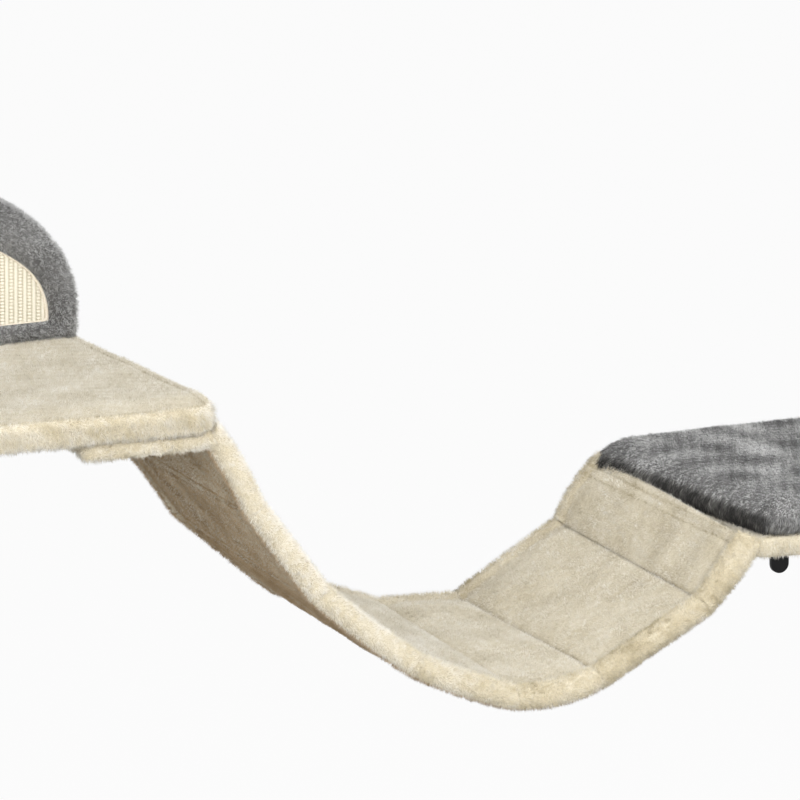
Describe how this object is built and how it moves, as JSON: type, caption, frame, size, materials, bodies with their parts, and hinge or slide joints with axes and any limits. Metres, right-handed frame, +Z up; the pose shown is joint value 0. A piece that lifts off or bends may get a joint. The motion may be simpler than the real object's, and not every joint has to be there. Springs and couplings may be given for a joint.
{
  "type": "wall mounted cat tree",
  "caption": "Two plush wall platforms, one with an arched scratching backrest and one with a thick pad, joined by a sagging padded bridge of hinged panels.",
  "frame": {"origin": "centre of the left platform's four wall holes, on the wall plane", "axes": "+X along the wall to the right, +Y into the wall, +Z up"},
  "size_m": [1.2216, 0.35, 0.4974],
  "materials": {
    "cream_plush": "long soft pile, matt",
    "grey_plush": "long soft pile, matt",
    "sisal": "woven in upright ribs, matt",
    "foam": "open cell foam",
    "plywood": "sanded plywood",
    "hardboard": "smooth hardboard",
    "black_steel": "black powder coat",
    "zinc_screws": "zinc plated"
  },
  "bodies": {
    "wall_fixed": {"left_board": "plywood", "left_cover": "cream_plush", "left_bracket_1": "black_steel", "left_bracket_2": "black_steel", "left_bracket_screws": "zinc_screws", "left_flap_cover": "cream_plush", "left_flap_board": "hardboard", "left_flap_screws": "zinc_screws", "backrest_board": "plywood", "backrest_foam": "foam", "backrest_cover": "grey_plush", "backrest_screws": "zinc_screws", "scratch_mat_backing": "hardboard", "scratch_mat": "sisal", "right_board": "plywood", "right_cover": "cream_plush", "right_bracket_1": "black_steel", "right_bracket_2": "black_steel", "right_bracket_screws": "zinc_screws", "right_flap_cover": "cream_plush", "right_flap_board": "hardboard", "right_flap_screws": "zinc_screws", "pad_foam": "foam", "pad_cover": "grey_plush"},
    "bridge_panel_1": {"bridge_board_1": "hardboard", "bridge_cover_1": "cream_plush"},
    "bridge_panel_2": {"bridge_board_2": "hardboard", "bridge_cover_2": "cream_plush"},
    "bridge_panel_3": {"bridge_board_3": "hardboard", "bridge_cover_3": "cream_plush"},
    "bridge_panel_4": {"bridge_board_4": "hardboard", "bridge_cover_4": "cream_plush"},
    "bridge_panel_5": {"bridge_board_5": "hardboard", "bridge_cover_5": "cream_plush"},
    "bridge_panel_6": {"bridge_board_6": "hardboard", "bridge_cover_6": "cream_plush"},
    "bridge_panel_7": {"bridge_board_7": "hardboard", "bridge_cover_7": "cream_plush"}
  },
  "joints": [
    {"name": "bridge_sway", "type": "hinge", "parent": "wall_fixed", "child": "bridge_panel_1", "pos_m": [0.155, -0.175, 0.0435], "axis": [0, -1, 0], "range_deg": [-5, 5], "stiffness_Nm_per_rad": 8, "springref_deg": 0.56},
    {"name": "bridge_seam_1_2", "type": "hinge", "parent": "bridge_panel_1", "child": "bridge_panel_2", "pos_m": [0.203, -0.175, -0.03964], "axis": [0, -0.9994, -0.0353], "range_deg": [-1.61, 1.61]},
    {"name": "bridge_seam_2_3", "type": "hinge", "parent": "bridge_panel_2", "child": "bridge_panel_3", "pos_m": [0.27397, -0.175, -0.12886], "axis": [0, -0.999, -0.0441], "range_deg": [-5.57, 5.57]},
    {"name": "bridge_seam_3_4", "type": "hinge", "parent": "bridge_panel_3", "child": "bridge_panel_4", "pos_m": [0.38271, -0.175, -0.21382], "axis": [0, -0.999, -0.0441], "range_deg": [-3.06, 3.06]},
    {"name": "bridge_right_seam", "type": "hinge", "parent": "wall_fixed", "child": "bridge_panel_7", "pos_m": [0.75056, -0.175, -0.12758], "axis": [0, -1, 0], "range_deg": [-4.04, 4.04]},
    {"name": "bridge_seam_6_7", "type": "hinge", "parent": "bridge_panel_7", "child": "bridge_panel_6", "pos_m": [0.70428, -0.175, -0.18273], "axis": [0, -1, 0], "range_deg": [-1.27, 1.27]},
    {"name": "bridge_seam_5_6", "type": "hinge", "parent": "bridge_panel_6", "child": "bridge_panel_5", "pos_m": [0.58652, -0.175, -0.24456], "axis": [0, -0.9999, -0.0118], "range_deg": [-5.2, 5.2]}
  ],
  "couplings": [
    {"joint": "bridge_seam_1_2", "follows": "bridge_sway", "ratio": -0.3114},
    {"joint": "bridge_seam_2_3", "follows": "bridge_sway", "ratio": -1.0874},
    {"joint": "bridge_seam_3_4", "follows": "bridge_sway", "ratio": -0.596},
    {"joint": "bridge_right_seam", "follows": "bridge_sway", "ratio": 0.7874},
    {"joint": "bridge_seam_6_7", "follows": "bridge_sway", "ratio": -0.2452},
    {"joint": "bridge_seam_5_6", "follows": "bridge_sway", "ratio": -1.015}
  ]
}
